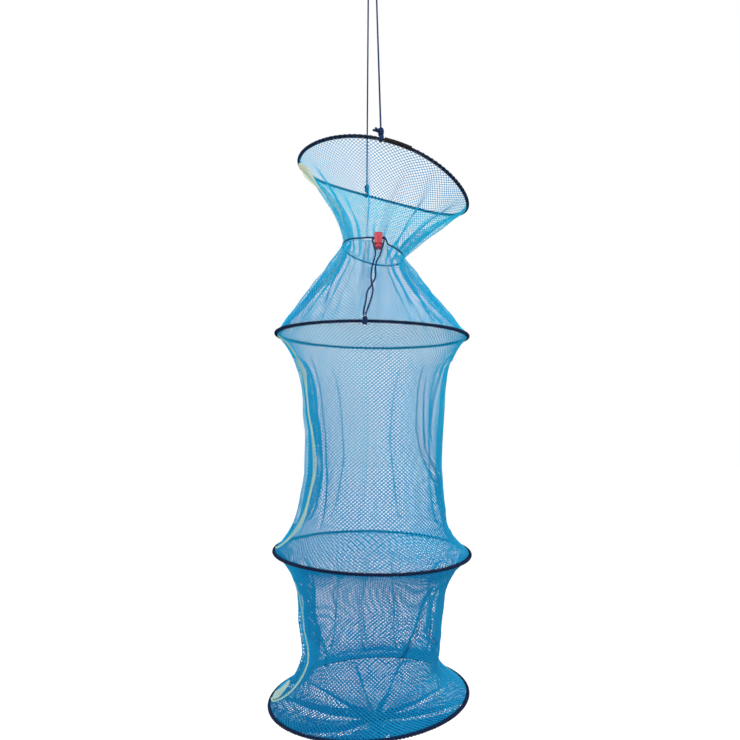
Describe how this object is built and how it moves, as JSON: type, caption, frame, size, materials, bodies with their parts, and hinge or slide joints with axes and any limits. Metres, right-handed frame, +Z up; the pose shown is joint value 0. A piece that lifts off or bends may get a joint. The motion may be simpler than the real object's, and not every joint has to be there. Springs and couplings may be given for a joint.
{
  "type": "fishing keepnet",
  "caption": "Hanging fishing keepnet: a long sleeve of fine netting on round hoops with a cord bail, a drawstring neck with a spring toggle, and a gathered base.",
  "frame": {"origin": "underside of the bail cord's top bend, where the keepnet hangs from a hook or bank stick", "axes": "+Z up along the hanging net, -Y towards the side with the red toggle, +X to the right seen from there"},
  "size_m": [0.3648, 0.3657, 1.4513],
  "materials": {
    "navy_cord": "braided cord, matt",
    "navy_lashing": "twisted cord, matt",
    "black_rod": "black plastic cover on steel wire, satin",
    "black_sleeve": "black sleeve, satin",
    "blue_netting": "fine diamond netting, slightly glossy thread",
    "navy_hem": "folded netting, whip-stitched",
    "lime_thread": "sewing thread, matt",
    "red_plastic": "moulded, glossy",
    "spring_steel": "bright wire"
  },
  "bodies": {
    "bail": {"bail_cord": "navy_cord", "front_bail_knot": "navy_cord", "back_bail_knot": "navy_cord"},
    "mouth": {"mouth_hoop": "black_rod", "mouth_hoop_sleeve": "black_sleeve", "front_hitch": "navy_cord", "back_hitch": "navy_cord", "right_lashing": "navy_lashing", "left_lashing": "navy_lashing", "mouth_netting": "blue_netting", "mouth_seam": "lime_thread"},
    "neck": {"neck_drawstring": "navy_cord", "neck_netting": "blue_netting", "neck_seam": "lime_thread", "left_tail": "navy_cord", "right_tail": "navy_cord"},
    "toggle": {"toggle_barrel": "red_plastic", "toggle_spring": "spring_steel"},
    "plunger": {"toggle_plunger": "red_plastic"},
    "upper": {"upper_hoop": "black_rod", "upper_hem": "navy_hem", "tail_knot": "navy_cord", "upper_netting": "blue_netting", "upper_seam": "lime_thread"},
    "middle": {"middle_hoop": "black_rod", "middle_hem": "navy_hem", "lower_netting": "blue_netting", "lower_seam": "lime_thread"},
    "bottom": {"bottom_hoop": "black_rod", "bottom_hem": "navy_hem", "base_netting": "blue_netting", "base_tie": "navy_cord", "base_loop": "navy_cord"}
  },
  "joints": [
    {"name": "bail_swing", "type": "hinge", "parent": "bail", "child": "mouth", "pos_m": [0.01453, -0.16184, -0.44459], "axis": [-0.0775, 0.996, 0.0439], "range_deg": [-45, 30]},
    {"name": "neck_lift", "type": "slide", "parent": "mouth", "child": "neck", "axis": [0, 0, 1], "range_m": [0, 0.1], "deforming": ["mouth_netting", "mouth_seam"]},
    {"name": "toggle_slide", "type": "slide", "parent": "neck", "child": "toggle", "axis": [-0.1209, -0.5321, -0.838], "range_m": [0, 0.1]},
    {"name": "plunger_press", "type": "slide", "parent": "toggle", "child": "plunger", "axis": [0, 0.2588, 0.9659], "range_m": [0, 0.002], "stiffness_N_per_m": 900, "springref_m": -0.002, "deforming": ["toggle_spring"]},
    {"name": "upper_hoop_lift", "type": "slide", "parent": "neck", "child": "upper", "axis": [0, 0, 1], "range_m": [0, 0.12], "deforming": ["neck_netting", "neck_seam", "left_tail", "right_tail"]},
    {"name": "middle_hoop_lift", "type": "slide", "parent": "upper", "child": "middle", "axis": [0, 0, 1], "range_m": [0, 0.355], "deforming": ["upper_netting", "upper_seam"]},
    {"name": "bottom_hoop_lift", "type": "slide", "parent": "middle", "child": "bottom", "axis": [0, 0, 1], "range_m": [0, 0.215], "deforming": ["lower_netting", "lower_seam"]}
  ]
}
